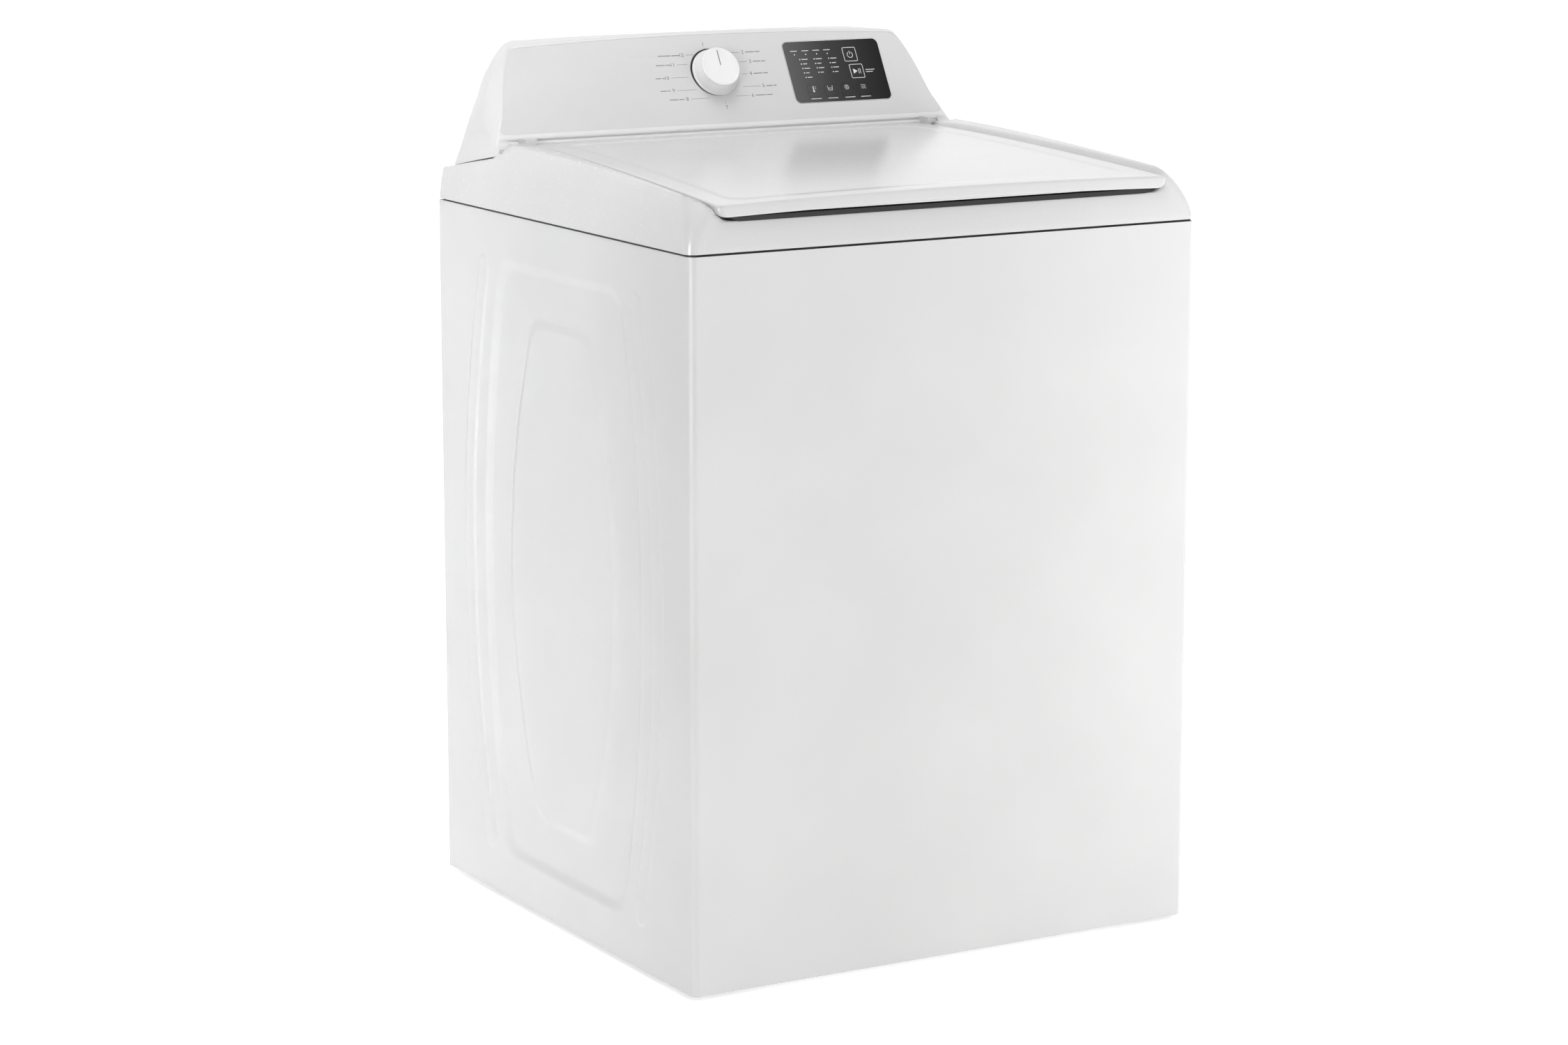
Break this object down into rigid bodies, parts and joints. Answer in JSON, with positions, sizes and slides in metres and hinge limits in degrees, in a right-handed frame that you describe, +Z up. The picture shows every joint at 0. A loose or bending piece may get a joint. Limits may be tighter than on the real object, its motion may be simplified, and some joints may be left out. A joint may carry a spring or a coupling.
{
  "type": "top load washing machine",
  "caption": "Free-standing top load washing machine with a hinged lid, a leaning rear console with a dial and key panel, and a hung tub with a spin basket and agitator.",
  "frame": {"origin": "on the floor under the middle of the cabinet", "axes": "+X to the right seen from the front, -Y out of the front panel, +Z up"},
  "size_m": [0.6984, 0.6614, 1.0755],
  "materials": {
    "cabinet_white": "high gloss white enamel",
    "top_white": "high gloss white enamel",
    "lid_white": "high gloss white enamel",
    "console_white": "gloss white moulded plastic",
    "fascia_white": "gloss white moulded plastic",
    "panel_grey": "gloss dark grey overlay",
    "key_grey": "gloss dark grey with light icons",
    "inner_white": "satin white moulded plastic",
    "tub_grey": "satin grey moulded plastic",
    "black_plastic": "satin black moulded plastic",
    "zinc_steel": "zinc plated sheet and bar",
    "stainless": "satin stainless sheet",
    "cast_metal": "as-cast with machined faces",
    "rubber_black": "matt black rubber",
    "bumper_grey": "soft grey rubber",
    "circuit_green": "solder-masked board"
  },
  "bodies": {
    "cabinet": {"cabinet_wrapper": "cabinet_white", "rear_panel": "zinc_steel", "base_rail_front": "zinc_steel", "base_rail_rear": "zinc_steel", "top_panel": "top_white", "bleach_dispenser": "inner_white", "lid_lock": "black_plastic", "hinge_bracket_left": "zinc_steel", "hinge_bracket_right": "zinc_steel", "console_frame": "console_white", "console_fascia": "fascia_white", "control_panel": "panel_grey", "control_board": "circuit_green", "cycle_encoder": "tub_grey", "console_rear_cover": "zinc_steel", "inlet_valve": "tub_grey", "fill_hose": "rubber_black", "fill_nozzle": "inner_white", "cord_gland": "black_plastic", "drain_outlet": "black_plastic", "suspension_rod_front_left": "zinc_steel", "suspension_rod_front_right": "zinc_steel", "suspension_rod_rear_left": "zinc_steel", "suspension_rod_rear_right": "zinc_steel", "foot_front_left": "rubber_black", "foot_front_right": "rubber_black", "foot_rear_left": "rubber_black", "foot_rear_right": "rubber_black"},
    "lid": {"lid_outer": "lid_white", "lid_inner": "inner_white", "lid_strike": "inner_white", "lid_bumper_left": "bumper_grey", "lid_bumper_right": "bumper_grey"},
    "knob": {"knob_skirt": "console_white", "knob_cap": "console_white"},
    "wash_unit": {"outer_tub": "tub_grey", "tub_ring": "inner_white", "mounting_plate": "zinc_steel", "gearcase": "cast_metal", "motor_housing": "cast_metal", "drive_belt": "rubber_black", "drain_pump": "inner_white", "drain_hose": "rubber_black", "suspension_spring_front_left": "zinc_steel", "suspension_spring_front_right": "zinc_steel", "suspension_spring_rear_left": "zinc_steel", "suspension_spring_rear_right": "zinc_steel"},
    "basket": {"basket": "stainless", "balance_ring": "inner_white"},
    "agitator": {"agitator_base": "inner_white"},
    "auger": {"auger": "inner_white"},
    "drive_pulley": {"drive_pulley": "cast_metal"},
    "motor_pulley": {"motor_pulley": "cast_metal"},
    "key_power": {"key_power": "key_grey"},
    "key_start": {"key_start": "key_grey"},
    "key_temperature": {"key_temperature": "key_grey"},
    "key_water_level": {"key_water_level": "key_grey"},
    "key_rinse": {"key_rinse": "key_grey"},
    "key_soak": {"key_soak": "key_grey"}
  },
  "joints": [
    {"name": "lid_hinge", "type": "hinge", "parent": "cabinet", "child": "lid", "pos_m": [0, 0.189, 0.949], "axis": [-1, 0, 0], "range_deg": [0, 100]},
    {"name": "knob_turn", "type": "hinge", "parent": "cabinet", "child": "knob", "pos_m": [0, 0.23871, 1.02491], "axis": [0, -0.8731, 0.4875], "continuous": true},
    {"name": "unit_bounce", "type": "slide", "parent": "cabinet", "child": "wash_unit", "axis": [0, 0, 1], "range_m": [-0.03, 0.015], "stiffness_N_per_m": 12000, "springref_m": 0.027, "deforming": ["suspension_spring_front_left", "suspension_spring_front_right", "suspension_spring_rear_left", "suspension_spring_rear_right", "drain_hose"]},
    {"name": "basket_spin", "type": "hinge", "parent": "wash_unit", "child": "basket", "pos_m": [0, -0.01, 0.2], "axis": [0, 0, 1], "continuous": true},
    {"name": "agitator_turn", "type": "hinge", "parent": "wash_unit", "child": "agitator", "pos_m": [0, -0.01, 0.2], "axis": [0, 0, 1], "continuous": true},
    {"name": "auger_turn", "type": "hinge", "parent": "agitator", "child": "auger", "pos_m": [0, -0.01, 0.2], "axis": [0, 0, 1], "continuous": true},
    {"name": "pulley_spin", "type": "hinge", "parent": "wash_unit", "child": "drive_pulley", "pos_m": [0, -0.01, 0.2], "axis": [0, 0, 1], "continuous": true},
    {"name": "motor_spin", "type": "hinge", "parent": "wash_unit", "child": "motor_pulley", "pos_m": [-0.15, -0.01, 0.085], "axis": [0, 0, 1], "continuous": true},
    {"name": "press_power", "type": "slide", "parent": "cabinet", "child": "key_power", "axis": [0, 0.8731, -0.4875], "range_m": [0, 0.001], "stiffness_N_per_m": 1000, "springref_m": -0.001},
    {"name": "press_start", "type": "slide", "parent": "cabinet", "child": "key_start", "axis": [0, 0.8731, -0.4875], "range_m": [0, 0.001], "stiffness_N_per_m": 1000, "springref_m": -0.001},
    {"name": "press_temperature", "type": "slide", "parent": "cabinet", "child": "key_temperature", "axis": [0, 0.8731, -0.4875], "range_m": [0, 0.001], "stiffness_N_per_m": 1000, "springref_m": -0.001},
    {"name": "press_water_level", "type": "slide", "parent": "cabinet", "child": "key_water_level", "axis": [0, 0.8731, -0.4875], "range_m": [0, 0.001], "stiffness_N_per_m": 1000, "springref_m": -0.001},
    {"name": "press_rinse", "type": "slide", "parent": "cabinet", "child": "key_rinse", "axis": [0, 0.8731, -0.4875], "range_m": [0, 0.001], "stiffness_N_per_m": 1000, "springref_m": -0.001},
    {"name": "press_soak", "type": "slide", "parent": "cabinet", "child": "key_soak", "axis": [0, 0.8731, -0.4875], "range_m": [0, 0.001], "stiffness_N_per_m": 1000, "springref_m": -0.001}
  ],
  "couplings": [
    {"joint": "pulley_spin", "follows": "agitator_turn", "ratio": 1},
    {"joint": "motor_spin", "follows": "agitator_turn", "ratio": 4.75}
  ]
}
